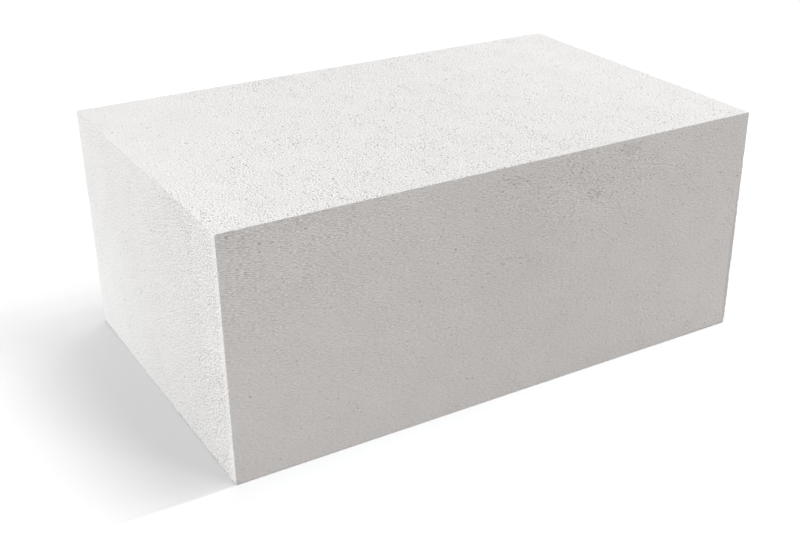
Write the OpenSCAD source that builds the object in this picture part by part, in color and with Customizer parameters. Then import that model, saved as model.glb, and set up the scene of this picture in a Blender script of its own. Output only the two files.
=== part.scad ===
// Solid block of aerated concrete, sawn to a plain rectangle for laying in thin-bed mortar.
// X runs along the wall, Y through its thickness and Z up. The origin is the middle of the lower bed.

/* [Block] */
// Length along the wall, from end to end
block_length = 600; // [300:5:800]
// Thickness through the wall, from face to face
block_thickness = 375; // [75:5:500]
// Height of one course, from bed to bed
block_height = 250; // [100:5:400]

/* [Arrises] */
// Radius to which the sawn edges are eased
arris_radius = 1; // [0.5:0.1:5]

/* [Hidden] */
arris_sides = 48;
concrete_colour = "whitesmoke";

// Section of a bar with its four edges eased, centred on the origin
module eased_section(width, depth) {
    square([width - 2 * arris_radius, depth], center = true);
    square([width, depth - 2 * arris_radius], center = true);
    for (x = [-1, 1], y = [-1, 1])
        translate([x * (width / 2 - arris_radius), y * (depth / 2 - arris_radius)])
            circle(r = arris_radius, $fn = arris_sides);
}

// Bar of a given length along Z, centred on the origin
module eased_bar(width, depth, length) {
    linear_extrude(height = length, center = true)
        eased_section(width, depth);
}

// The block is what three eased bars, one along each axis, have in common
module block() {
    color(concrete_colour)
        translate([0, 0, block_height / 2])
            intersection() {
                eased_bar(block_length, block_thickness, block_height);
                rotate([90, 0, 0])
                    eased_bar(block_length, block_height, block_thickness);
                rotate([0, 90, 0])
                    eased_bar(block_height, block_thickness, block_length);
            }
}

block();
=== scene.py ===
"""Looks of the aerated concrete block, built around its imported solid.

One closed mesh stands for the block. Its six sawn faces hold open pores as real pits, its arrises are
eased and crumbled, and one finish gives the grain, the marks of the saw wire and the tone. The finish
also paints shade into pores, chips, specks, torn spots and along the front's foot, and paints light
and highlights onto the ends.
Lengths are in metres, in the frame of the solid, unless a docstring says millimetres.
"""

import logging
import math
from collections.abc import Callable
from dataclasses import dataclass, field
from enum import Enum

import bpy
import numpy as np
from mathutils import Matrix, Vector
from mathutils.geometry import delaunay_2d_cdt


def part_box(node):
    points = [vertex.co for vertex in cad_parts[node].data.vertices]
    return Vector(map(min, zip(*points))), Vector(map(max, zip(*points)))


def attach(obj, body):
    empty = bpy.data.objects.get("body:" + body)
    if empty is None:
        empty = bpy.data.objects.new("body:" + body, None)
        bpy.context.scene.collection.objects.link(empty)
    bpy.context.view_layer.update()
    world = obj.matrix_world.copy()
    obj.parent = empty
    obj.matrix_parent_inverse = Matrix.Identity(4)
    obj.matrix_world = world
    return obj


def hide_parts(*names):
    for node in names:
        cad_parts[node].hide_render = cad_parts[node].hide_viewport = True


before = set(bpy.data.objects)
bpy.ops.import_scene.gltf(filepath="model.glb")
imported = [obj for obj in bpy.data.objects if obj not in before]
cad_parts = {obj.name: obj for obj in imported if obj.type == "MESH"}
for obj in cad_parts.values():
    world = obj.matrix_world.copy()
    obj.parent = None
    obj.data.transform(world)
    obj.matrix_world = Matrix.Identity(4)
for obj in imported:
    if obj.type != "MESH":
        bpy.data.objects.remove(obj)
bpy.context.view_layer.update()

log = logging.getLogger("block")

Pair = tuple[float, float]
Triple = tuple[float, float, float]

MM = 0.001
CAD_NODE = "block"
BODY = "root"
BAKE_MAP = "OFBake"
PLACE = "sawn_place"
# How dark each point of the mesh is painted, as the shade of its pore or chip.
PORE_SHADE = "pore_and_chip_shade"
WIRE_CUT = "wire_cut"
WHITE = (1.0, 1.0, 1.0)
COOL = (0.98, 1.055, 1.081)
# How far the patterns move on from one face to the next, in millimetres.
FACE_SHIFT = (731.0, 419.0)
# The squared distance from a patch's middle, in its reaches, where it ends and where it is whole.
PATCH_FADE = (1.7, 0.2)
# The triangulation's choice of keeping only what lies inside the outline.
INSIDE_ONLY = 1


class Side(Enum):
    """A face of the block: the two axes of its own plane, then the way it looks."""

    FRONT = ((1, 0, 0), (0, 0, 1), (0, -1, 0))
    BACK = ((-1, 0, 0), (0, 0, 1), (0, 1, 0))
    LEFT_END = ((0, -1, 0), (0, 0, 1), (-1, 0, 0))
    RIGHT_END = ((0, 1, 0), (0, 0, 1), (1, 0, 0))
    TOP = ((1, 0, 0), (0, 1, 0), (0, 0, 1))
    BED = ((1, 0, 0), (0, -1, 0), (0, 0, -1))

    def __init__(self, *ways: Triple) -> None:
        """Keeps the three directions as arrays, and the face's place in the list of faces."""
        self.across, self.along, self.out = (np.array(way, float) for way in ways)
        self.number = len(type(self).__members__)

    @property
    def is_long(self) -> bool:
        """Whether this is one of the two wire-cut faces of the wall."""
        return self in (Side.FRONT, Side.BACK)


def side_towards(direction: np.ndarray) -> Side:
    """The face that looks along one axis of the block."""
    return max(Side, key=lambda side: float(side.out @ direction))


def ring_pairs(loop: np.ndarray) -> np.ndarray:
    """Each point of a closed loop, paired with the next."""
    return np.stack([loop, np.roll(loop, -1)], 1)


def part_way(limits: Pair, share: float | np.ndarray) -> float | np.ndarray:
    """What lies a share of the way from one limit to the other."""
    return limits[0] + (limits[1] - limits[0]) * share


def carry(mesh: bpy.types.Mesh, name: str, kind: str, domain: str, values: np.ndarray) -> None:
    """Stores values on a mesh.

    Args:
        mesh: the mesh.
        name: what the values are called.
        kind: the type of one value.
        domain: the part of the mesh that has a value each.
        values: the values, in the mesh's order.
    """
    key = "vector" if kind == "FLOAT_VECTOR" else "value"
    mesh.attributes.new(name, kind, domain).data.foreach_set(key, values.ravel())


@dataclass(frozen=True)
class Solid:
    """The plain rectangular solid that the block was sawn to."""

    low: np.ndarray
    high: np.ndarray

    @property
    def middle(self) -> np.ndarray:
        """The middle of the solid."""
        return (self.low + self.high) / 2

    @property
    def half(self) -> np.ndarray:
        """Half of the solid's length, thickness and height."""
        return (self.high - self.low) / 2

    def spans(self, side: Side) -> np.ndarray:
        """Half of a face's size along each of its own two axes."""
        return np.array([abs(side.across) @ self.half, abs(side.along) @ self.half])

    def on_face(self, side: Side, places: np.ndarray, depth: np.ndarray) -> np.ndarray:
        """Lifts places of a face's own plane into space.

        Args:
            side: the face.
            places: rows of two coordinates from the middle of the face.
            depth: how far each place lies below the face.

        Returns:
            Rows of three coordinates.
        """
        centre = self.middle + side.out * (abs(side.out) @ self.half)
        flat = places[:, :1] * side.across + places[:, 1:2] * side.along
        return centre + flat - depth[:, None] * side.out

    def in_plane(self, side: Side, points: np.ndarray) -> np.ndarray:
        """The two coordinates of points in a face's own plane."""
        away = points - self.middle
        return np.stack([away @ side.across, away @ side.along], 1)


@dataclass
class Shell:
    """The points and triangles of one closed mesh, as they are made."""

    points: list[np.ndarray] = field(default_factory=list)
    pores: list[np.ndarray] = field(default_factory=list)
    triangles: list[np.ndarray] = field(default_factory=list)
    charts: list[np.ndarray] = field(default_factory=list)
    creases: list[np.ndarray] = field(default_factory=list)
    count: int = 0

    def add_points(self, points: np.ndarray, pore: np.ndarray | None = None) -> np.ndarray:
        """Adds points.

        Args:
            points: rows of three coordinates.
            pore: how far each point is painted towards shade, from 0 to 1: in a pore with its depth, in a
                chip by its chipping, and None for the open face.

        Returns:
            The numbers of the new points.
        """
        numbers = np.arange(self.count, self.count + len(points))
        self.points.append(points)
        self.pores.append(np.zeros(len(points)) if pore is None else pore)
        self.count += len(points)
        return numbers

    def add_triangles(self, triangles: np.ndarray, side: Side) -> None:
        """Adds triangles that take their place on the maps from one face."""
        self.triangles.append(triangles)
        self.charts.append(np.full(len(triangles), side.number))

    def add_quads(self, lower: np.ndarray, upper: np.ndarray, side: Side) -> None:
        """Adds a strip between two rows of points.

        Args:
            lower: point numbers of one row, with the strip on its left.
            upper: point numbers of the other row, in the same order.
            side: the face on whose plane the strip is laid out.
        """
        first = np.stack([lower[:-1], lower[1:], upper[1:]], 1)
        second = np.stack([lower[:-1], upper[1:], upper[:-1]], 1)
        self.add_triangles(np.concatenate([first, second]), side)

    def add_crease(self, loop: np.ndarray) -> None:
        """Marks a closed loop of points whose edges shade as sharp."""
        self.creases.append(ring_pairs(loop))


@dataclass(frozen=True)
class PoreSize:
    """One class of the gas pores that the saw has opened. Some bring one, two or three neighbours.

    The rings run from the rim inwards: each has a share of the radius, a share of the depth and a number
    of points, and one more point lies at the bottom.
    """

    per_square_metre: float
    radii: Pair
    depth_share: float
    clumped: float
    rings: tuple[tuple[float, float, int], ...]


@dataclass(frozen=True)
class Patch:
    """An oval place on one face. Its darkening is how much darker it looks, or paler where that is below 0;
    on some patches it is painted shade.
    """

    side: Side
    centre: Pair
    reach: Pair
    darkening: float

    def mask(self, spot: "Spot") -> "Wire":
        """Finds the patch.

        Args:
            spot: the shaded point.

        Returns:
            1 in the middle of it and 0 elsewhere.
        """
        a, b = (
            (part * MM - centre) / reach
            for part, centre, reach in zip(spot.offset, self.centre, self.reach)
        )
        return (a * a + b * b).eased(*PATCH_FADE) * spot.face.equals(self.side.number)


@dataclass(frozen=True)
class CrowdedPatch(Patch):
    """A patch with more pores of each class than its share. Torn is how much more of its ground is torn."""

    extra: tuple[int, ...]
    torn: float

    def draw(self, number: int, rng: np.random.Generator) -> list[np.ndarray]:
        """Draws places about the middle of the patch.

        Args:
            number: which class of pores the places are for.
            rng: the source of chance.

        Returns:
            One place for each pore that the patch has beyond its share.
        """
        spread = np.array(self.reach) / math.sqrt(2)
        return [rng.normal(self.centre, spread) for _ in range(self.extra[number])]


@dataclass
class Pit:
    """One open pore: where it is, how wide, how long and which way it is drawn out."""

    place: Pair
    radius: float
    stretch: float
    turn: float
    size: PoreSize


@dataclass
class Pores:
    """The open pores of all the faces. The saw wire draws those of the long faces out along the cut."""

    sizes: tuple[PoreSize, ...]
    patches: tuple[CrowdedPatch, ...]
    gap: float = 0.35 * MM
    clump: float = 3.5 * MM
    most_neighbours: int = 3
    margin: float = 3.0 * MM
    radius_beta: Pair = (1.2, 3.0)
    stretch: Pair = (1.0, 1.3)
    long_face_share: float = 0.85
    long_face_stretch: Pair = (1.0, 1.7)
    long_face_turn: float = 0.25
    rim_wobble: float = 0.16
    bottom_shift: float = 0.12
    cell: float = 10 * MM

    def scatter(self, side: Side, spans: np.ndarray, rng: np.random.Generator) -> list[Pit]:
        """Places the pores of one face so that none meets another.

        Args:
            side: the face.
            spans: half of the face's size along its own axes.
            rng: the source of chance.

        Returns:
            The pores, the widest class first.
        """
        pits: list[Pit] = []
        near: dict[tuple[int, int], list[Pit]] = {}
        area = 4 * float(spans[0] * spans[1])
        for number, size in enumerate(self.sizes):
            places = [rng.uniform(-spans, spans) for _ in range(round(size.per_square_metre * area))]
            for place in places[:round(len(places) * size.clumped)]:
                neighbours = rng.integers(1, self.most_neighbours + 1)
                places += [place + rng.normal(0, self.clump, 2) for _ in range(neighbours)]
            for patch in self.patches:
                if patch.side is side:
                    places += patch.draw(number, rng)
            for place in places:
                pit = self.draw(side, place, size, rng)
                inside = bool((abs(place) < spans - self.margin - self.reach(pit)).all())
                if inside and self.fits(pit, near):
                    pits.append(pit)
                    near.setdefault(self.cell_of(pit.place), []).append(pit)
        return pits

    def draw(self, side: Side, place: np.ndarray, size: PoreSize, rng: np.random.Generator) -> Pit:
        """Draws one pore at random.

        Args:
            side: the face.
            place: the pore's middle on the face.
            size: the pore's class.
            rng: the source of chance.

        Returns:
            The pore, which may still meet another.
        """
        radius = part_way(size.radii, rng.beta(*self.radius_beta))
        if side.is_long:
            radius *= self.long_face_share
            stretch = rng.uniform(*self.long_face_stretch)
            turn = rng.normal(0.0, self.long_face_turn)
        else:
            stretch = rng.uniform(*self.stretch)
            turn = rng.uniform(0.0, math.pi)
        return Pit((float(place[0]), float(place[1])), radius, stretch, turn, size)

    def cell_of(self, place: Pair) -> tuple[int, int]:
        """The square of the search grid that a place lies in."""
        return math.floor(place[0] / self.cell), math.floor(place[1] / self.cell)

    def fits(self, pit: Pit, near: dict[tuple[int, int], list[Pit]]) -> bool:
        """Tests a pore against those around it.

        Args:
            pit: the new pore.
            near: the pores placed so far, by square of the search grid.

        Returns:
            Whether the pore keeps clear of all of them.
        """
        column, row = self.cell_of(pit.place)
        around = [(column + i, row + j) for i in (-1, 0, 1) for j in (-1, 0, 1)]
        return all(
            math.dist(pit.place, other.place) >= self.reach(pit) + self.reach(other) + self.gap
            for cell in around for other in near.get(cell, [])
        )

    def reach(self, pit: Pit) -> float:
        """The farthest that a pore's rim lies from its middle."""
        return pit.radius * pit.stretch * (1 + self.rim_wobble)

    def rings(self, pit: Pit, rng: np.random.Generator) -> tuple[np.ndarray, np.ndarray, int]:
        """Works out the points of one pore.

        Args:
            pit: the pore.
            rng: the source of chance.

        Returns:
            Places on the face, the share of the depth at each, and the number of points on the rim.
        """
        places, shares = [], []
        cos, sin = math.cos(pit.turn), math.sin(pit.turn)
        start = rng.uniform(0, math.tau)
        for reach, share, count in pit.size.rings:
            angle = start + np.arange(count) * math.tau / count
            wide = pit.radius * reach * (1 + rng.uniform(-self.rim_wobble, self.rim_wobble, count))
            places.append(np.stack([wide * pit.stretch * np.cos(angle), wide * np.sin(angle)], 1))
            shares.append(np.full(count, share))
        places.append(rng.normal(0, self.bottom_shift, (1, 2)) * pit.radius)
        shares.append(np.ones(1))
        turned = np.concatenate(places) @ np.array([[cos, sin], [-sin, cos]])
        return turned + np.array(pit.place), np.concatenate(shares), pit.size.rings[0][2]


@dataclass(frozen=True)
class Waves:
    """The slight waves that a long saw wire leaves on a face."""

    depth: float
    lengths: Pair
    count: int

    def draw(self, rng: np.random.Generator) -> np.ndarray:
        """Draws the waves of one face.

        Args:
            rng: the source of chance.

        Returns:
            One row for each wave: its two wave numbers and its phase.
        """
        rate = math.tau / rng.uniform(*self.lengths, self.count)
        way = rng.uniform(0, math.pi, self.count)
        return np.stack([rate * np.cos(way), rate * np.sin(way), rng.uniform(0, math.tau, self.count)], 1)

    def at(self, waves: np.ndarray, places: np.ndarray) -> np.ndarray:
        """Measures how far a wavy face lies below its plane, and never above it.

        Args:
            waves: the face's waves.
            places: rows of two coordinates from the middle of the face.

        Returns:
            A depth for each place.
        """
        swing = np.sin(places @ waves[:, :2].T + waves[:, 2]).mean(1)
        return self.depth * (0.5 + 0.5 * swing)


@dataclass
class Arris:
    """The eased edge between two faces, from one corner of the block to another.

    The rows hold the point numbers along the first face, the middle of the round and the second face.
    """

    first: Side
    second: Side
    axis: int
    rows: tuple[np.ndarray, np.ndarray, np.ndarray]

    def row_on(self, side: Side) -> np.ndarray:
        """The point numbers along one of the two faces."""
        return self.rows[0] if side is self.first else self.rows[2]


@dataclass
class Crumbling:
    """How the arrises and corners are eased and chipped.

    The set-back is how far the middle of an arris lies below its edge, as a share of what the two faces
    lose: where it is only worn, and in the middle of a chip.
    """

    step: float = 1.5 * MM
    jitter: float = 0.3
    worn: Pair = (0.1 * MM, 0.4 * MM)
    chip_every: float = 16 * MM
    chip_reach: Pair = (1.2 * MM, 3.5 * MM)
    chip_depth: Pair = (0.3 * MM, 1.5 * MM)
    chip_beta: Pair = (1.0, 2.5)
    chip_sides: Pair = (0.5, 1.0)
    # How far the middle of a chip is painted towards the dark colour, as its shade.
    chip_painted_shade: float = 0.6
    corner: Pair = (0.7 * MM, 1.6 * MM)
    set_back: Pair = (0.3, 0.5)

    def stations(self, start: float, end: float, rng: np.random.Generator) -> np.ndarray:
        """Spaces points unevenly along an arris.

        Args:
            start: where the arris leaves one corner.
            end: where it meets the other.
            rng: the source of chance.

        Returns:
            Coordinates along the arris, with both ends.
        """
        count = max(2, round((end - start) / self.step))
        even = np.linspace(start, end, count + 1)
        even[1:-1] += rng.uniform(-self.jitter, self.jitter, count - 1) * self.step
        return even

    def eases(self, stations: np.ndarray, rng: np.random.Generator) -> tuple[np.ndarray, np.ndarray]:
        """Draws how far an arris is worn back.

        Args:
            stations: coordinates along the arris.
            rng: the source of chance.

        Returns:
            Two columns, the width lost on either face, and the share of chipping at each station.
        """
        worn = rng.uniform(*self.worn, (len(stations), 2))
        chipped = np.zeros(len(stations))
        length = stations[-1] - stations[0]
        for _ in range(rng.poisson(length / self.chip_every)):
            where = rng.uniform(stations[0], stations[-1])
            reach = rng.uniform(*self.chip_reach)
            depth = part_way(self.chip_depth, rng.beta(*self.chip_beta))
            shape = np.clip(1 - ((stations - where) / reach) ** 2, 0, 1)
            worn += shape[:, None] * depth * rng.uniform(*self.chip_sides, 2)
            chipped = np.maximum(chipped, shape)
        return worn, chipped


@dataclass
class AeratedBlock:
    """The block: six sawn faces with their pores, twelve arrises and eight corners."""

    solid: Solid
    pores: Pores
    waves: Waves
    crumbling: Crumbling
    grid: float = 12 * MM
    grid_jitter: float = 0.3
    seed: int = 20
    cdt_gap: float = 1e-4
    map_margin: float = 8 * MM
    name: str = "aerated_block"
    rng: np.random.Generator = field(init=False)
    shell: Shell = field(init=False)
    face_waves: dict[Side, np.ndarray] = field(init=False)
    corner_ease: dict[tuple[int, ...], float] = field(init=False)
    corner_points: dict[tuple[Side, tuple[int, ...]], int] = field(init=False)
    arrises: list[Arris] = field(init=False)

    def build(self) -> bpy.types.Object:
        """Makes the block's mesh.

        Returns:
            The new object, in place.
        """
        self.rng = np.random.default_rng(self.seed)
        self.shell = Shell()
        self.face_waves = {side: self.waves.draw(self.rng) for side in Side}
        self.corner_ease = {
            (x, y, z): self.rng.uniform(*self.crumbling.corner)
            for x in (-1, 1) for y in (-1, 1) for z in (-1, 1)
        }
        self.corner_points = {}
        self.arrises = [self.arris(a, b) for a, b in self.meeting_sides()]
        for side in Side:
            self.face(side)
        for corner in self.corner_ease:
            self.corner(corner)
        return self.to_object()

    def meeting_sides(self) -> list[tuple[Side, Side]]:
        """The twelve pairs of faces that share an arris."""
        sides = list(Side)
        return [(a, b) for i, a in enumerate(sides) for b in sides[i + 1:] if not (a.out @ b.out)]

    def between(self, side: Side, other: Side) -> Arris:
        """The arris that two faces share."""
        return next(a for a in self.arrises if {a.first, a.second} == {side, other})

    def depth_at(self, side: Side, places: np.ndarray) -> np.ndarray:
        """How far a face's waves lie below its plane at some places."""
        return self.waves.at(self.face_waves[side], places)

    def laid_back(self, side: Side, points: np.ndarray) -> np.ndarray:
        """Sets points of a face's plane back to its waves."""
        return points - self.depth_at(side, self.solid.in_plane(side, points))[:, None] * side.out

    def arris(self, first: Side, second: Side) -> Arris:
        """Makes the eased edge between two faces.

        Args:
            first: one face.
            second: the other face.

        Returns:
            The arris, with its points and strips in the shell.
        """
        axis = int(np.argmin(abs(first.out) + abs(second.out)))
        run = np.eye(3)[axis]
        ends = [first.out + second.out + sign * run for sign in (-1, 1)]
        corners = [tuple(int(part) for part in end) for end in ends]
        limit = self.solid.half[axis]
        start, end = (self.corner_ease[corner] for corner in corners)
        stations = self.crumbling.stations(-limit + start, limit - end, self.rng)
        worn, chipped = self.crumbling.eases(stations, self.rng)
        worn[0], worn[-1] = start, end
        chipped[0] = chipped[-1] = 0
        edge = self.solid.middle + (first.out + second.out) * self.solid.half + stations[:, None] * run
        on_first = self.laid_back(first, edge - worn[:, :1] * second.out)
        on_second = self.laid_back(second, edge - worn[:, 1:] * first.out)
        share = part_way(self.crumbling.set_back, chipped)[:, None]
        middle = edge - share * (worn[:, :1] * second.out + worn[:, 1:] * first.out)
        # The middle row carries each chip's painted shade.
        rows = (
            self.row(first, corners, on_first),
            self.shell.add_points(middle, chipped * self.crumbling.chip_painted_shade),
            self.row(second, corners, on_second),
        )
        arris = Arris(first, second, axis, rows)
        ahead = float(np.cross(first.out, second.out) @ run) > 0
        left, right = (first, second) if ahead else (second, first)
        self.shell.add_quads(arris.row_on(left)[::-1], rows[1][::-1], left)
        self.shell.add_quads(rows[1][::-1], arris.row_on(right)[::-1], right)
        return arris

    def row(self, side: Side, corners: list[tuple[int, ...]], points: np.ndarray) -> np.ndarray:
        """Adds a row of points whose two ends are shared with the face's other arrises.

        Args:
            side: the face that the row lies on.
            corners: the corners at the row's two ends.
            points: rows of three coordinates.

        Returns:
            The point numbers of the row.
        """
        numbers = np.empty(len(points), int)
        numbers[1:-1] = self.shell.add_points(points[1:-1])
        for place, corner in ((0, corners[0]), (-1, corners[1])):
            key = (side, corner)
            if key not in self.corner_points:
                self.corner_points[key] = int(self.shell.add_points(points[place][None])[0])
            numbers[place] = self.corner_points[key]
        return numbers

    def outline(self, side: Side) -> np.ndarray:
        """Walks round a face.

        Args:
            side: the face.

        Returns:
            The point numbers of its outline, against the clock as seen from outside.
        """
        parts = []
        walks = ((-side.along, side.across), (side.across, side.along))
        for beside, way in walks + tuple((-b, -w) for b, w in walks):
            arris = self.between(side, side_towards(beside))
            numbers = arris.row_on(side)
            if way[arris.axis] < 0:
                numbers = numbers[::-1]
            parts.append(numbers[:-1])
        return np.concatenate(parts)

    def face(self, side: Side) -> None:
        """Fills one face, from its outline to the bottoms of its pores.

        Args:
            side: the face.
        """
        outline = self.outline(side)
        count = len(outline)
        loops = [np.arange(count)]
        edge = self.solid.in_plane(side, np.concatenate(self.shell.points)[outline])
        parts = [(edge, np.zeros(count), 0.0)]
        pits = self.pores.scatter(side, self.solid.spans(side), self.rng)
        for pit in pits:
            ring, share, rim = self.pores.rings(pit, self.rng)
            parts.append((ring, share, pit.radius * pit.size.depth_share))
            loops.append(count + np.arange(rim))
            count += len(ring)
        spare = self.open_points(side, pits)
        parts.append((spare, np.zeros(len(spare)), 0.0))
        flat = np.concatenate([places for places, _, _ in parts])
        share = np.concatenate([share for _, share, _ in parts])
        depth = np.concatenate([share * deepest for _, share, deepest in parts])
        links = np.concatenate([ring_pairs(loop) for loop in loops]).tolist()
        _, _, triangles, origins, _, _ = delaunay_2d_cdt(
            [Vector(place) for place in flat / MM], links, [], INSIDE_ONLY, self.cdt_gap
        )
        new = slice(len(outline), None)
        depth = depth[new] + self.depth_at(side, flat[new])
        inside = self.shell.add_points(self.solid.on_face(side, flat[new], depth), share[new])
        numbers = np.concatenate([outline, inside])
        source = np.array([origin[0] for origin in origins])
        self.shell.add_triangles(numbers[source[np.array(triangles)]], side)
        for loop in loops:
            self.shell.add_crease(numbers[loop])
        log.info("face %s: %d pores, %d triangles", side.name.lower(), len(pits), len(triangles))

    def open_points(self, side: Side, pits: list[Pit]) -> np.ndarray:
        """Spreads points over a face's open ground, so that its waves show.

        Args:
            side: the face.
            pits: the face's pores, which the points keep clear of.

        Returns:
            Rows of two coordinates from the middle of the face.
        """
        spans = self.solid.spans(side) - self.pores.margin
        counts = np.maximum(1, np.round(2 * spans / self.grid)).astype(int)
        axes = [np.linspace(-s, s, n + 1) for s, n in zip(spans, counts)]
        spots = np.stack(np.meshgrid(*axes, indexing="ij"), -1).reshape(-1, 2)
        spots = spots + self.rng.uniform(-self.grid_jitter, self.grid_jitter, spots.shape) * self.grid
        spots = np.clip(spots, -spans, spans)
        taken = np.array([pit.place for pit in pits])
        reach = np.array([self.pores.reach(pit) + self.pores.gap for pit in pits])
        clear = [bool((np.hypot(*(taken - spot).T) > reach).all()) for spot in spots]
        return spots[clear]

    def corner(self, corner: tuple[int, int, int]) -> None:
        """Closes the round where three arrises meet.

        Args:
            corner: the signs of the corner's coordinates.
        """
        signs = np.array(corner, float)
        sides = [side_towards(axis * sign) for axis, sign in zip(np.eye(3), signs)]
        if signs.prod() < 0:
            sides.reverse()
        ring: list[tuple[int, Side]] = []
        for side, after in zip(sides, sides[1:] + sides[:1]):
            arris = self.between(side, after)
            end = 0 if signs[arris.axis] < 0 else -1
            ring.append((self.corner_points[(side, corner)], side))
            ring.append((int(arris.rows[1][end]), after))
        ease = self.corner_ease[corner] * self.crumbling.set_back[0]
        tip = self.solid.middle + signs * (self.solid.half - ease)
        top = int(self.shell.add_points(tip[None])[0])
        for (number, side), (after, _) in zip(ring, ring[1:] + ring[:1]):
            self.shell.add_triangles(np.array([[number, after, top]]), side)

    def to_object(self) -> bpy.types.Object:
        """Turns the shell into an object with its maps and creases.

        Returns:
            The new object.
        """
        shell = self.shell
        points = np.concatenate(shell.points)
        triangles = np.concatenate(shell.triangles)
        mesh = bpy.data.meshes.new(self.name)
        mesh.from_pydata(points.tolist(), [], triangles.tolist())
        mesh.polygons.foreach_set("use_smooth", np.ones(len(triangles), bool))
        self.lay_maps(mesh, points[triangles], np.concatenate(shell.charts))
        carry(mesh, PORE_SHADE, "FLOAT", "POINT", np.concatenate(shell.pores).astype(np.float32))
        self.crease(mesh, np.concatenate(shell.creases))
        mesh.update()
        block = bpy.data.objects.new(self.name, mesh)
        bpy.context.scene.collection.objects.link(block)
        return block

    def dress(self, block: bpy.types.Object, finish: "ConcreteFinish", painted_shade_and_dark_patches: tuple[Patch, ...]) -> None:
        """Gives the block its finish, with the painted shade and darker patches that it has beside its
        crowded patches.
        """
        block.data.materials.append(finish.material(self.solid, self.pores.patches, painted_shade_and_dark_patches))

    def lay_maps(self, mesh: bpy.types.Mesh, corners: np.ndarray, charts: np.ndarray) -> None:
        """Gives every triangle its place on its face, and its place on the flat map of all six.

        Args:
            mesh: the block's mesh.
            corners: the three points of each triangle.
            charts: the number of the face that each triangle is laid out on.
        """
        places = np.zeros((len(charts), 3, 3), np.float32)
        flat = np.zeros((len(charts), 3, 2), np.float32)
        cut = np.zeros((len(charts), 3), np.float32)
        origins, whole = self.map_layout()
        for side in Side:
            mine = charts == side.number
            own = self.solid.in_plane(side, corners[mine].reshape(-1, 3)).reshape(-1, 3, 2)
            places[mine, :, :2] = own
            places[mine, :, 2] = side.number
            turned = own[:, :, ::-1] * (1, -1) if side is Side.BACK else own
            flat[mine] = (turned + origins[side]) / whole
            cut[mine] = float(side.is_long)
        mesh.uv_layers.new(name=BAKE_MAP).uv.foreach_set("vector", flat.ravel())
        carry(mesh, PLACE, "FLOAT_VECTOR", "CORNER", places)
        carry(mesh, WIRE_CUT, "FLOAT", "CORNER", cut)

    def map_layout(self) -> tuple[dict[Side, np.ndarray], np.ndarray]:
        """Lays the six faces out in two columns, with the back turned on its end.

        Returns:
            The middle of each face on the flat map, and the map's width and height.
        """
        length, thickness, height = 2 * self.solid.half
        gap = self.map_margin
        wide = gap + length / 2
        slim = 2 * gap + length + thickness / 2
        middles = {
            Side.TOP: (wide, gap + thickness / 2),
            Side.BED: (wide, 2 * gap + 1.5 * thickness),
            Side.FRONT: (wide, 3 * gap + 2 * thickness + height / 2),
            Side.LEFT_END: (slim, gap + height / 2),
            Side.RIGHT_END: (slim, 2 * gap + 1.5 * height),
            Side.BACK: (slim, 3 * gap + 2 * height + length / 2),
        }
        size = np.array([length + thickness + 3 * gap, 2 * height + length + 4 * gap])
        return {side: np.array(middle) for side, middle in middles.items()}, size

    def crease(self, mesh: bpy.types.Mesh, creases: np.ndarray) -> None:
        """Marks the rims of faces and pores as sharp.

        Args:
            mesh: the block's mesh.
            creases: pairs of point numbers.
        """
        ends = np.empty(len(mesh.edges) * 2, int)
        mesh.edges.foreach_get("vertices", ends)
        made, wanted = (
            pairs[:, 0] * len(mesh.vertices) + pairs[:, 1]
            for pairs in (np.sort(ends.reshape(-1, 2), 1), np.sort(creases, 1))
        )
        carry(mesh, "sharp_edge", "BOOLEAN", "EDGE", np.isin(made, wanted))


def wire_operator(operation: str, reflected: bool = False) -> Callable[["Wire", "Feed"], "Wire"]:
    """Makes an operator of wires.

    Args:
        operation: the operation of its Math node, or of its Vector Math node where a side is a vector.
        reflected: whether the wire stands on the right.

    Returns:
        A method that combines a wire with another value.
    """

    def combine(wire: "Wire", other: "Feed") -> "Wire":
        """Combines a wire with another value, by one node.

        Args:
            wire: the wire that the operator belongs to.
            other: the other value.

        Returns:
            The result.
        """
        sides = (other, wire) if reflected else (wire, other)
        vector = any(isinstance(side, Wire) and side.is_vector for side in sides)
        kind = "ShaderNodeVectorMath" if vector else "ShaderNodeMath"
        return wire.bench.add(kind, {"operation": operation}, dict(enumerate(sides)))

    return combine


class Wire:
    """A value, vector or colour on its way between two nodes, with the arithmetic that finishes need."""

    __add__ = wire_operator("ADD")
    __radd__ = wire_operator("ADD", reflected=True)
    __sub__ = wire_operator("SUBTRACT")
    __rsub__ = wire_operator("SUBTRACT", reflected=True)
    __mul__ = wire_operator("MULTIPLY")
    __rmul__ = wire_operator("MULTIPLY", reflected=True)
    __truediv__ = wire_operator("DIVIDE")
    __rtruediv__ = wire_operator("DIVIDE", reflected=True)
    least = wire_operator("MINIMUM")
    most = wire_operator("MAXIMUM")

    def __init__(self, bench: "Bench", socket: bpy.types.NodeSocket) -> None:
        """Keeps the node tree and the socket that gives the value."""
        self.bench = bench
        self.socket = socket

    @property
    def is_vector(self) -> bool:
        """Whether the wire carries three numbers."""
        return self.socket.type in ("VECTOR", "RGBA")

    def __abs__(self) -> "Wire":
        """The size of this, without its sign."""
        return self.bench.add("ShaderNodeMath", {"operation": "ABSOLUTE"}, {0: self})

    def eased(self, start: float, end: float) -> "Wire":
        """Turns a stretch of this value into a soft step.

        Args:
            start: the value at which the step is 0.
            end: the value at which it is 1.

        Returns:
            The step, from 0 to 1.
        """
        return self.bench.add(
            "ShaderNodeMapRange",
            {"interpolation_type": "SMOOTHSTEP"},
            {"Value": self, "From Min": start, "From Max": end},
        )

    def equals(self, number: int) -> "Wire":
        """1 where this is one whole number and 0 where it is another."""
        return abs(self - number).eased(0.6, 0.4)


Feed = Wire | float | Triple


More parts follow.
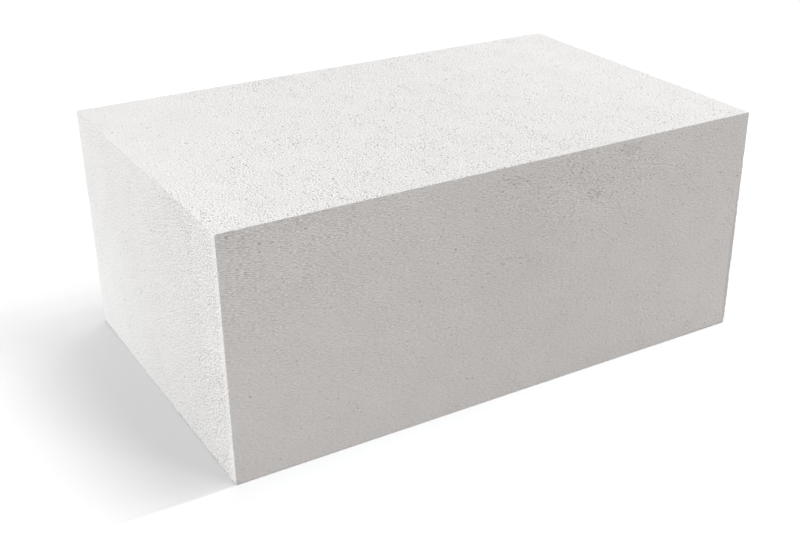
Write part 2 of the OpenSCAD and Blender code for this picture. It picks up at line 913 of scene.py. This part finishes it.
@dataclass
class Bench:
    """A node tree that finishes are put together on."""

    tree: bpy.types.NodeTree

    @classmethod
    def of(cls, owner: bpy.types.Material | bpy.types.World) -> "Bench":
        """Clears the node tree of a material or a world.

        Args:
            owner: the material or world.

        Returns:
            Its empty node tree.
        """
        owner.use_nodes = True
        owner.node_tree.nodes.clear()
        return cls(owner.node_tree)

    def node(self, kind: str, settings: dict, sockets: dict) -> bpy.types.Node:
        """Adds a node.

        Args:
            kind: the node's type.
            settings: the node's own properties, which are set first.
            sockets: what feeds its inputs, by name or number.

        Returns:
            The node.
        """
        node = self.tree.nodes.new(kind)
        for name, value in settings.items():
            setattr(node, name, value)
        for key, value in sockets.items():
            self.feed(node.inputs[key], value)
        return node

    def wires(self, kind: str, settings: dict, sockets: dict, *outputs: int | str) -> list[Wire]:
        """The wires that leave a new node by some of its outputs."""
        node = self.node(kind, settings, sockets)
        return [Wire(self, node.outputs[output]) for output in outputs]

    def add(self, kind: str, settings: dict, sockets: dict, output: int | str = 0) -> Wire:
        """The wire that leaves a new node by one output."""
        return self.wires(kind, settings, sockets, output)[0]

    def feed(self, socket: bpy.types.NodeSocket, value: Feed) -> None:
        """Links or sets one input.

        Args:
            socket: the input.
            value: a wire to link, or a number or triple to set.
        """
        if isinstance(value, Wire):
            self.tree.links.new(value.socket, socket)
        elif socket.type == "RGBA":
            socket.default_value = (*value, 1.0)
        elif socket.type == "VECTOR" and isinstance(value, (int, float)):
            socket.default_value = (value,) * 3
        else:
            socket.default_value = value

    def mixed(self, share: Wire, first: Triple, second: Triple) -> Wire:
        """The mix of two colours, by a node whose inputs 6 and 7 and output 2 are colours."""
        return self.add("ShaderNodeMix", {"data_type": "RGBA"}, {0: share, 6: first, 7: second}, 2)

    def shown_or(self, shown: Wire, hidden: Wire) -> Wire:
        """Shows one shader to rays that show a surface, straight or in a mirror, and lights by another.

        Args:
            shown: the shader for rays of the camera, of gloss and of glass.
            hidden: the shader for all the others.

        Returns:
            Both shaders as one.
        """
        camera, gloss, glass = self.wires(
            "ShaderNodeLightPath", {}, {}, "Is Camera Ray", "Is Glossy Ray", "Is Transmission Ray"
        )
        return self.add("ShaderNodeMixShader", {}, {0: camera.most(gloss).most(glass), 1: hidden, 2: shown})

    def noise(self, place: Wire, size: float, detail: float, roughness: float = 0.5) -> Wire:
        """Adds cloudy noise.

        Args:
            place: where it is looked up.
            size: the width of its clouds, in the units of the place.
            detail: how many finer layers it has.
            roughness: how strong those layers are.

        Returns:
            A value from 0 to 1, mostly near a half.
        """
        return self.add(
            "ShaderNodeTexNoise",
            {"noise_dimensions": "2D"},
            {"Vector": place, "Scale": 1 / size, "Detail": detail, "Roughness": roughness},
        )

    def varied(self, place: Wire, size: float) -> Wire:
        """A factor that drifts about 1 over clouds of one size."""
        return 0.75 + 0.5 * self.noise(place, size, 1.0)

    def cells(self, place: Wire, size: float) -> tuple[Wire, Wire]:
        """Adds a pattern of uneven cells.

        Args:
            place: where it is looked up.
            size: the mean width of a cell, in the units of the place.

        Returns:
            The distance from the nearest cell's middle, in cell widths, and that cell's own chance value.
        """
        settings, sockets = {"voronoi_dimensions": "2D"}, {"Vector": place, "Scale": 1 / size}
        distance, colour = self.wires("ShaderNodeTexVoronoi", settings, sockets, "Distance", "Color")
        return distance, self.add("ShaderNodeSeparateColor", {}, {0: colour})

    def split(self, vector: Wire) -> list[Wire]:
        """The three parts of a vector."""
        return self.wires("ShaderNodeSeparateXYZ", {}, {0: vector}, 0, 1, 2)

    def flat(self, across: Feed, along: Feed) -> Wire:
        """The flat vector that two parts make."""
        return self.add("ShaderNodeCombineXYZ", {}, {"X": across, "Y": along})

    def carried(self, name: str, output: str) -> Wire:
        """A value that the mesh carries."""
        return self.add("ShaderNodeAttribute", {"attribute_name": name}, {}, output)


@dataclass(frozen=True)
class Spot:
    """What a finish knows about a point of the block, as wires.

    The place is in millimetres on the face's own plane, moved on from face to face so that no two faces
    are alike. The offset is the same without that move, from the middle of the face. Across runs from -1
    at the left end to 1 at the right, depth from -1 at the front to 1 at the back, and rise from 0 at the
    foot to 1 at the top.
    """

    bench: Bench
    place: Wire
    offset: tuple[Wire, Wire]
    face: Wire
    end: Wire
    wire_cut: Wire
    pore: Wire
    across: Wire
    depth: Wire
    rise: Wire

    @classmethod
    def on(cls, bench: Bench, solid: Solid) -> "Spot":
        """Reads what the mesh carries.

        Args:
            bench: the node tree.
            solid: the block's plain solid.

        Returns:
            The wires of the shaded point.
        """
        across, along, face = bench.split(bench.carried(PLACE, "Vector"))
        offset = (across * (1 / MM), along * (1 / MM))
        x, y, z = bench.split(bench.add("ShaderNodeTexCoord", {}, {}, "Object"))
        return cls(
            bench=bench,
            place=bench.flat(*(part + face * shift for part, shift in zip(offset, FACE_SHIFT))),
            offset=offset,
            face=face,
            end=face.equals(Side.LEFT_END.number) + face.equals(Side.RIGHT_END.number),
            wire_cut=bench.carried(WIRE_CUT, "Fac"),
            pore=bench.carried(PORE_SHADE, "Fac"),
            across=x / float(solid.half[0]),
            depth=y / float(solid.half[1]),
            rise=z / float(solid.high[2]),
        )


@dataclass(frozen=True)
class FaceKinds:
    """A number that differs between the beds, the ends and the long wire-cut faces."""

    bed: Feed
    end: Feed
    long: Feed

    def at(self, spot: Spot) -> Wire:
        """Picks the number of the face that the shaded point is on."""
        return self.bed + (self.end - self.bed) * spot.end + (self.long - self.bed) * spot.wire_cut


@dataclass(frozen=True)
class Grain:
    """The fine pores and grit of every face, in cells that the cut draws out. Sizes are in millimetres."""

    cell_size: float = 1.3
    grit_size: float = 1.25
    across: FaceKinds = FaceKinds(0.78, 0.60, 0.47)
    along: FaceKinds = FaceKinds(0.68, 1.0, 1.1)
    cell_step: float = 0.15
    cell_hollow: float = 0.2
    sink: float = 0.08
    grit: float = 1.45

    def at(self, spot: Spot) -> Wire:
        """Makes the grain.

        Args:
            spot: the shaded point.

        Returns:
            A height, about 0 in the mean.
        """
        place = spot.place * spot.bench.flat(self.across.at(spot), self.along.at(spot))
        distance, chance = spot.bench.cells(place, self.cell_size)
        grit = spot.bench.noise(place, self.grit_size, 0.0) - 0.5
        return (0.5 - chance) * self.cell_step + distance * self.cell_hollow - self.sink + grit * self.grit


@dataclass(frozen=True)
class WireMarks:
    """The wavy marks that the saw wire drags along the long faces. Sizes are in millimetres."""

    size: Pair = (3.6, 0.82)
    sway: float = 16.0
    sway_size: float = 70.0
    cloud_size: float = 60.0
    everywhere: float = 0.95
    top_left: float = 3.2

    def at(self, spot: Spot, solid: Solid) -> Wire:
        """Makes the marks.

        Args:
            spot: the shaded point.
            solid: the block's plain solid.

        Returns:
            A height about 0, strongest at the left and towards the top, and 0 on the other faces.
        """
        bench = spot.bench
        lift = bench.flat(0.0, (bench.noise(spot.place, self.sway_size, 1.0) - 0.5) * self.sway)
        wide, high = self.size
        marks = bench.noise((spot.place + lift) * (high / wide, 1.0, 1.0), high, 0.0) - 0.5
        across, along = (part * (MM / float(half)) for part, half in zip(spot.offset, solid.half[::2]))
        rise = along.eased(-0.8, 1.0)
        drag = self.everywhere + self.top_left * across.eased(-0.1, -1.0) * rise * rise
        return marks * drag * bench.varied(spot.place, self.cloud_size) * spot.wire_cut


@dataclass(frozen=True)
class Specks:
    """The clusters of small pores between the pits, painted dark as their shade, with paler painted
    highlights on their rims. Sizes are in millimetres, radii in cells.
    """

    size: float = 3.6
    drawn: Triple = (0.85, 1.0, 1.0)
    widest: float = 0.42
    left_out: float = 0.04
    blur: float = 0.08
    rim_reach: float = 1.9
    # How much paler a speck's raised rim is painted, as a highlight.
    rim_painted_highlight: float = 0.22
    cluster_size: float = 9.0
    cluster_drawn: Triple = (0.55, 1.0, 1.0)
    cluster_edge: Pair = (0.5, 0.65)
    alone: float = 0.6
    crowd_gain: float = 0.07
    # How dark specks are painted, as the shade in their pores.
    shade: FaceKinds = FaceKinds(0.62, 0.26, 0.32)

    def at(self, spot: Spot, crowd: Wire) -> Wire:
        """Makes the specks.

        Args:
            spot: the shaded point.
            crowd: how crowded the pores are there.

        Returns:
            How much darker a speck is painted as its shade, and a little below 0 on its raised rim, painted
            paler as a highlight.
        """
        distance, chance = spot.bench.cells(spot.place * self.drawn, self.size)
        rarity = chance * chance
        radius = rarity * rarity * self.widest - self.left_out
        dots = (radius - distance).eased(0.0, self.blur)
        rims = (radius * self.rim_reach - distance).eased(0.0, self.blur) - dots
        clusters = spot.bench.noise(spot.place * self.cluster_drawn, self.cluster_size, 2.0, 0.6)
        clustered = (clusters + self.crowd_gain * crowd).eased(*self.cluster_edge)
        share = self.alone + (1.0 - self.alone) * clustered
        return (dots - self.rim_painted_highlight * rims) * share * self.shade.at(spot)


@dataclass(frozen=True)
class Crumbs:
    """The torn spots of the long faces, most of them in crowded patches. Sizes are in millimetres."""

    size: float = 2.1
    drawn: Triple = (0.5, 1.0, 1.0)
    edge: Pair = (0.68, 0.78)

    def at(self, spot: Spot, patches: dict[CrowdedPatch, Wire]) -> Wire:
        """Makes the torn spots.

        Args:
            spot: the shaded point.
            patches: the masks of the crowded patches.

        Returns:
            1 in a torn spot and 0 elsewhere.
        """
        level = spot.bench.noise(spot.place * self.drawn, self.size, 2.0, 0.6)
        for patch, mask in patches.items():
            level = level + mask * patch.torn
        return level.eased(*self.edge) * spot.wire_cut


@dataclass(frozen=True)
class Strength:
    """How strong the grain is over the block. Sizes are in millimetres.

    On the beds it is weakest at the back left, on the ends strongest by the front, and on the long faces
    it grows towards the top and the right. A number that names a region is what the region adds.
    """

    bed: float = 1.35
    bed_front: float = 0.36
    bed_back: float = 0.3
    bed_back_left: float = -1.45
    bed_right: float = -0.3
    end: float = 1.36
    end_front: float = 2.05
    long: float = 0.43
    long_top: float = 0.14
    long_right: float = 0.25
    cloud_size: float = 55.0
    patch_size: float = 15.0
    patch_along: FaceKinds = FaceKinds(0.45, 1.6, 1.6)
    unevenness: FaceKinds = FaceKinds(0.7, 0.2, 0.55)

    def broad(self, spot: Spot) -> Wire:
        """Works out the broad changes.

        Args:
            spot: the shaded point.

        Returns:
            A factor, about 1.
        """
        front, back = spot.depth.eased(1.3, -1.3), spot.depth.eased(0.3, 1.0)
        left, right = spot.across.eased(-0.3, -1.1), spot.across.eased(0.1, 1.0)
        bed = self.bed + self.bed_front * front + self.bed_back * back
        bed = bed + self.bed_back_left * left * (1.0 - front) + self.bed_right * right
        end = self.end + self.end_front * front * front * front
        long = self.long + self.long_top * spot.rise.eased(-0.2, 1.2)
        long = long + self.long_right * spot.across.eased(-1.0, 0.5)
        return FaceKinds(bed, end, long).at(spot) * spot.bench.varied(spot.place, self.cloud_size)

    def patchy(self, spot: Spot) -> Wire:
        """Makes rougher and calmer patches of grain.

        Args:
            spot: the shaded point.

        Returns:
            A factor, about 1.
        """
        place = spot.place * spot.bench.flat(1.0, self.patch_along.at(spot))
        cloud = spot.bench.noise(place, self.patch_size, 1.0)
        return 1.0 + (cloud.eased(0.3, 0.7) - 0.5) * self.unevenness.at(spot)


@dataclass(frozen=True)
class Tone:
    """The broad changes of tone: what each region adds to the mean. The mottle's size is in millimetres. The
    paler foot of each end is painted light, and the paler strip of each end beside the front arris is a
    painted highlight.
    """

    mean: float = 0.965
    mottle: float = 0.06
    mottle_size: float = 42.0
    both_ends: float = 0.03
    bed_right: float = 0.015
    bed_front_left: float = 0.035
    end_front: float = 0.085
    # A painted highlight: the strip of each end beside the front arris is paler.
    end_arris_painted_highlight: float = 0.05
    # Painted light: the foot of each end is paler, standing for light thrown back from the floor.
    end_foot_painted_light: float = 0.045
    end_back_top: float = 0.065
    end_middle: float = -0.06
    long_right: float = -0.01

    def at(self, spot: Spot) -> Wire:
        """Works out the tone.

        Args:
            spot: the shaded point.

        Returns:
            A factor on the colour, close to 1.
        """
        across, rise = spot.across, spot.rise
        front = spot.depth.eased(1.0, -1.0)
        mottle = spot.bench.noise(spot.place, self.mottle_size, 1.5) - 0.5
        bed = across * self.bed_right + front * across.eased(-0.75, -1.0) * self.bed_front_left
        # The paler strip beside the front arris is a painted highlight.
        end = (front - 0.5) * self.end_front + front.eased(0.9, 1.0) * self.end_arris_painted_highlight
        # The paler foot of each end is painted light.
        end = end + rise.eased(0.25, 0.0) * self.end_foot_painted_light
        end = end + (1.0 - front) * (rise.eased(0.55, 1.0) * self.end_back_top + front * self.end_middle)
        slope = FaceKinds(bed, end, across * self.long_right).at(spot)
        return self.mean + mottle * self.mottle + abs(across).eased(0.1, 1.0) * self.both_ends + slope


@dataclass(frozen=True)
class ConcreteFinish:
    """Sawn aerated concrete: chalky, all but white and full of fine pores. Sizes are in millimetres.

    A shade is how far the colour goes towards the dark one, which serves both for the darker cells of the
    grain and for the painted shade of pits, chips, specks and torn spots. Clearness is how much of the
    painted shade of pits and specks shows: everywhere, and with the strength of the grain. The margin is
    the smoother strip of an end beside the front, painted paler there as a highlight: how far from the
    front it ends, and how far it is whole. The rough lift is painted light: how much paler rough ground
    is painted, against the shade that its bump gives it.
    """

    colour: Triple = (0.95, 0.94, 0.925)
    # The dark colour, for both the grain and the painted shade.
    dark_grain_and_shade_colour: Triple = (0.43, 0.41, 0.39)
    grain: Grain = Grain()
    wire_marks: WireMarks = WireMarks()
    specks: Specks = Specks()
    crumbs: Crumbs = Crumbs()
    strength: Strength = Strength()
    tone: Tone = Tone()
    ground_shade: float = 0.28
    grain_shade: FaceKinds = FaceKinds(0.395, 0.335, 0.37)
    # How dark pits and chips are painted, as their shade.
    pore_painted_shade: FaceKinds = FaceKinds(1.0, 0.48, 0.45)
    crumb_painted_shade: float = 0.15
    # How dark torn spots are painted, as their shade.
    clearness: Pair = (0.22, 0.52)
    crowd_gain: float = 0.4
    margin: Pair = (14.0, 4.0)
    margin_calm: float = 0.5
    # A painted highlight: how much paler the margin is painted.
    margin_painted_highlight: float = 0.012
    # Painted light: how much paler rough ground is painted, against the shade that its bump gives it.
    rough_painted_light: FaceKinds = FaceKinds(0.03, 0.02, 0.0)
    mean_strength: float = 1.4
    speck_relief: float = 1.5
    crumb_relief: float = 0.8
    relief: float = 0.35
    roughness: Pair = (0.88, 1.0)
    specular: float = 0.25

    def material(
        self, solid: Solid, patches: tuple[CrowdedPatch, ...], painted_shade_and_dark_patches: tuple[Patch, ...]
    ) -> bpy.types.Material:
        """Puts the finish together.

        Args:
            solid: the block's plain solid.
            patches: the places where the pores are crowded, the widest first.
            painted_shade_and_dark_patches: the places that only look darker: painted shade along the front's
                foot and at its lower left corner, and darker patches.

        Returns:
            The material.
        """
        material = bpy.data.materials.new("sawn_aerated_concrete")
        bench = Bench.of(material)
        spot = Spot.on(bench, solid)
        masks = {patch: patch.mask(spot) for patch in patches}
        crowd = masks[patches[0]]
        from_front = (spot.depth + 1.0) * float(solid.half[1] / MM)
        margin = from_front.eased(*self.margin) * spot.end
        even = self.strength.broad(spot) * (1.0 + self.crowd_gain * crowd)
        even = even * (1.0 - self.margin_calm * margin)
        strength = even * self.strength.patchy(spot)
        grain = (self.grain.at(spot) + self.wire_marks.at(spot, solid)) * strength
        clear = self.clearness[0] + self.clearness[1] * even
        specks = self.specks.at(spot, crowd) * clear
        crumbs = self.crumbs.at(spot, masks)
        # Pits and chips are painted darker with their depth, as their shade.
        pits = spot.pore * self.pore_painted_shade.at(spot) * clear
        ground = (self.ground_shade - grain * self.grain_shade.at(spot)).most(0.0)
        # The dark share mixes the grain with the painted shade of pits, chips, specks and torn spots.
        grain_and_painted_shade = ground + pits + specks + crumbs * self.crumb_painted_shade
        body = bench.mixed(grain_and_painted_shade.least(1.0), self.colour, self.dark_grain_and_shade_colour)
        # The margin is painted paler, as a highlight.
        tone = self.tone.at(spot) + margin * self.margin_painted_highlight
        # Rough ground is painted paler, as light against the shade of its bump.
        tone = tone + (strength - self.mean_strength) * self.rough_painted_light.at(spot)
        # Patches darken the tone; the lines along the front's foot and the spot at its lower left corner are
        # painted shade.
        for patch, mask in (masks | {darkening: darkening.mask(spot) for darkening in painted_shade_and_dark_patches}).items():
            tone = tone - mask * patch.darkening
        height = grain - specks * self.speck_relief - crumbs * self.crumb_relief
        sockets = {"Height": height, "Distance": self.relief * MM}
        low, high = self.roughness
        surface = bench.add(
            "ShaderNodeBsdfPrincipled",
            {},
            {
                "Base Color": body * tone,
                "Roughness": (low + high) / 2 + (high - low) * grain,
                "Specular IOR Level": self.specular,
                "Normal": bench.add("ShaderNodeBump", {}, sockets, "Normal"),
            },
        )
        bench.node("ShaderNodeOutputMaterial", {}, {"Surface": surface})
        return material


@dataclass(frozen=True)
class FloorFinish:
    """A plain pale floor, seen as white but for the shadow, that throws little light back."""

    seen_colour: Triple = (0.788, 0.813, 0.825)
    thrown_colour: Triple = (0.428, 0.428, 0.428)

    def material(self) -> bpy.types.Material:
        """Puts the floor's finish together.

        Returns:
            The material.
        """
        material = bpy.data.materials.new("pale_floor")
        bench = Bench.of(material)
        seen, thrown = (
            bench.add("ShaderNodeBsdfDiffuse", {}, {"Color": colour})
            for colour in (self.seen_colour, self.thrown_colour)
        )
        bench.node("ShaderNodeOutputMaterial", {}, {"Surface": bench.shown_or(seen, thrown)})
        return material


class LampKind(Enum):
    """The kinds of lamp in the studio."""

    SOFTBOX = "ELLIPSE"
    STRIP = "RECTANGLE"
    FAR_LAMP = "SUN"


@dataclass(frozen=True)
class Lamp:
    """A studio lamp. Its share is the light on a face turned to it, where 1 shows a colour as written."""

    name: str
    kind: LampKind
    towards: Triple
    share: float
    colour: Triple = WHITE
    distance: float = 2.0
    size: Pair = (1.0, 1.0)
    spread_deg: float = 12.0
    shadow: bool = True

    def hang(self, target: Vector, lit: bpy.types.Object) -> None:
        """Makes the lamp.

        Args:
            target: the point that it looks at.
            lit: the one object that it lights.
        """
        far = self.kind is LampKind.FAR_LAMP
        data = bpy.data.lights.new(self.name, "SUN" if far else "AREA")
        data.color = self.colour
        data.use_shadow = self.shadow
        if far:
            data.angle = math.radians(self.spread_deg)
            data.energy = self.share * math.pi
        else:
            data.shape = self.kind.value
            data.size, data.size_y = self.size
            data.energy = self.share * (math.pi * self.distance) ** 2
        lamp = bpy.data.objects.new(self.name, data)
        way = Vector(self.towards).normalized()
        lamp.location = target + way * self.distance
        lamp.rotation_euler = way.to_track_quat("Z", "Y").to_euler()
        lamp.visible_camera = False
        bpy.context.scene.collection.objects.link(lamp)
        group = bpy.data.collections.new(f"{self.name}_lights")
        group.objects.link(lit)
        lamp.light_linking.receiver_collection = group


@dataclass(frozen=True)
class FloorLamp:
    """A far lamp for the floor alone. Its share is the light on the level floor."""

    azimuth_deg: float
    elevation_deg: float
    spread_deg: float
    share: float

    def lamp(self, name: str) -> Lamp:
        """Describes the lamp under a name.

        Args:
            name: the lamp's name.

        Returns:
            The lamp.
        """
        turn, rise = math.radians(self.azimuth_deg), math.radians(self.elevation_deg)
        way = (math.cos(rise) * math.cos(turn), math.cos(rise) * math.sin(turn), math.sin(rise))
        return Lamp(name, LampKind.FAR_LAMP, way, self.share / way[2], spread_deg=self.spread_deg)


@dataclass(frozen=True)
class StripLamp:
    """A thin lamp for the floor alone, in the plane of the front. Its share is as for a far lamp."""

    along: float
    height: float
    length: float
    share: float
    width: float = 10 * MM

    def lamp(self, name: str, target: Triple) -> Lamp:
        """Describes the lamp under a name.

        Args:
            name: the lamp's name.
            target: the point on the floor that it looks at.

        Returns:
            The lamp.
        """
        way = (self.along - target[0], 0.0, self.height)
        distance = math.hypot(*way)
        level = self.share * distance / self.height
        return Lamp(name, LampKind.STRIP, way, level, distance=distance, size=(self.width, self.length))


@dataclass(frozen=True)
class PhotoCamera:
    """The camera of the photograph: where it stood, which way it looked and how its frame was cut."""

    place: Triple = (-0.62156, -1.05081, 0.65509)
    heading_deg: float = 31.596
    pitch_deg: float = 26.806
    lens_mm: float = 54.456
    sensor_mm: float = 36.0
    shift: Pair = (-0.0404, 0.0307)

    def make(self) -> None:
        """Makes the camera and gives it to the scene."""
        data = bpy.data.cameras.new("photo_camera")
        data.lens = self.lens_mm
        data.sensor_width = self.sensor_mm
        data.shift_x, data.shift_y = self.shift
        camera = bpy.data.objects.new("photo_camera", data)
        camera.location = self.place
        turn = (90 - self.pitch_deg, 0.0, -self.heading_deg)
        camera.rotation_euler = [math.radians(angle) for angle in turn]
        bpy.context.scene.collection.objects.link(camera)
        bpy.context.scene.camera = camera


@dataclass
class Studio:
    """The plain white set: floor, soft light all round, lamps and camera.

    The far lamps throw the block's soft shadow to the left, and the strips give it its one crisp edge.
    """

    floor_size: float = 14.0
    floor_drop: float = 0.2 * MM
    ambient: float = 0.466
    ambient_colour: Triple = (1.0, 0.91, 0.886)
    floor_finish: FloorFinish = FloorFinish()
    camera: PhotoCamera = PhotoCamera()
    block_lamps: tuple[Lamp, ...] = (
        Lamp(
            "left_lamp", LampKind.FAR_LAMP, (-0.9, 0.25, 0.38), 0.449, (0.993, 1.052, 1.074), spread_deg=20.0
        ),
        Lamp("top_lamp", LampKind.FAR_LAMP, (-0.1, -0.25, 1.0), 0.493, COOL, spread_deg=24.0),
        Lamp(
            "low_fill", LampKind.SOFTBOX, (-0.9, 0.38, -0.214), 0.048, COOL, 0.491, (0.3, 0.3), shadow=False
        ),
    )
    floor_lamps: tuple[FloorLamp, ...] = (
        FloorLamp(-150.0, 30.0, 40.0, 0.215),
        FloorLamp(-60.0, 30.0, 20.0, 0.09),
        FloorLamp(-30.0, 47.0, 40.0, 0.158),
        FloorLamp(0.0, 70.0, 20.0, 0.12),
        FloorLamp(30.0, 70.0, 20.0, 0.05),
        FloorLamp(35.0, 45.0, 20.0, 0.045),
        FloorLamp(60.0, 45.0, 36.0, 0.127),
    )
    strip_lamps: tuple[StripLamp, ...] = (
        StripLamp(0.42, 0.95, 0.386, 0.026),
        StripLamp(0.42, 1.4, 0.495, 0.064),
        StripLamp(0.45, 2.5, 0.8, 0.066),
        StripLamp(2.0, 6.0, 1.94, 0.028),
    )
    shadow_middle: Triple = (-0.45, -0.1925, 0.0)

    def build(self, block: bpy.types.Object) -> None:
        """Sets the studio up round the block.

        Args:
            block: the finished block.
        """
        self.paint_world()
        floor = self.floor()
        target = block.matrix_world @ (sum((Vector(c) for c in block.bound_box), Vector()) / 8)
        for lamp in self.block_lamps:
            lamp.hang(target, block)
        for number, far in enumerate(self.floor_lamps):
            far.lamp(f"floor_lamp_{number}").hang(target, floor)
        for number, strip in enumerate(self.strip_lamps):
            strip.lamp(f"strip_{number}", self.shadow_middle).hang(Vector(self.shadow_middle), floor)
        self.camera.make()
        bpy.context.scene.view_settings.view_transform = "Standard"
        log.info("studio: floor, %d lamps and camera", len(bpy.data.lights))

    def paint_world(self) -> None:
        """Makes the soft light from all round, behind a white backdrop."""
        world = bpy.data.worlds.new("white_studio")
        bench = Bench.of(world)
        white, light = (
            bench.add("ShaderNodeBackground", {}, {"Color": colour, "Strength": strength})
            for colour, strength in ((WHITE, 1.0), (self.ambient_colour, self.ambient))
        )
        bench.node("ShaderNodeOutputWorld", {}, {"Surface": bench.shown_or(white, light)})
        bpy.context.scene.world = world

    def floor(self) -> bpy.types.Object:
        """Lays the floor.

        Returns:
            The floor.
        """
        half = self.floor_size / 2
        mesh = bpy.data.meshes.new("studio_floor")
        corners = [(-half, -half, 0), (half, -half, 0), (half, half, 0), (-half, half, 0)]
        mesh.from_pydata(corners, [], [(0, 1, 2, 3)])
        mesh.materials.append(self.floor_finish.material())
        floor = bpy.data.objects.new("studio_floor", mesh)
        floor.location.z = -self.floor_drop
        bpy.context.scene.collection.objects.link(floor)
        return floor


def main() -> None:
    """Builds the block and the studio, and reports each piece."""
    logging.basicConfig(level=logging.INFO, format="%(name)s: %(message)s")
    low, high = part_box(CAD_NODE)
    solid = Solid(np.array(low), np.array(high))
    patches = (
        CrowdedPatch(Side.FRONT, (0.08, 0.09), (0.1, 0.036), -0.025, (45, 120), 0.08),
        CrowdedPatch(Side.FRONT, (-0.004, 0.109), (0.017, 0.006), 0.02, (9, 14), 0.08),
        CrowdedPatch(Side.FRONT, (0.099, 0.076), (0.009, 0.006), 0.03, (6, 12), 0.08),
        CrowdedPatch(Side.FRONT, (0.142, 0.115), (0.013, 0.005), 0.035, (7, 12), 0.13),
        CrowdedPatch(Side.FRONT, (0.012, 0.022), (0.030, 0.012), 0.0, (10, 10), 0.06),
    )
    painted_shade_and_dark_patches = (
        # Painted shade: a dark line along the front's foot at the left.
        Patch(Side.FRONT, (-0.25, -0.125), (0.06, 0.0012), 0.12),
        # Painted shade: a dark spot at the front's lower left corner.
        Patch(Side.FRONT, (-0.2985, -0.1235), (0.004, 0.003), 0.1),
        # A darker strip down the front's right edge.
        Patch(Side.FRONT, (0.2995, -0.06), (0.004, 0.09), 0.13),
        # Painted shade: a dark line along the front's foot at the right.
        Patch(Side.FRONT, (0.28, -0.1245), (0.05, 0.0015), 0.12),
        # A broad darker patch in the middle of the front.
        Patch(Side.FRONT, (0.0, 0.05), (0.06, 0.09), 0.022),
    )
    pore_sizes = (
        PoreSize(800, (0.9 * MM, 1.75 * MM), 0.75, 0.25, ((1.0, 0.0, 9), (0.72, 0.72, 9))),
        PoreSize(6500, (0.4 * MM, 0.8 * MM), 0.8, 0.0, ((1.0, 0.0, 6),)),
    )
    waves = Waves(depth=0.2 * MM, lengths=(0.09, 0.34), count=4)
    builder = AeratedBlock(solid, Pores(pore_sizes, patches), waves, Crumbling())
    block = builder.build()
    builder.dress(block, ConcreteFinish(), painted_shade_and_dark_patches)
    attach(block, BODY)
    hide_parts(CAD_NODE)
    log.info("piece %s: %d triangles", block.name, len(block.data.polygons))
    Studio().build(block)


if __name__ == "__main__":
    main()
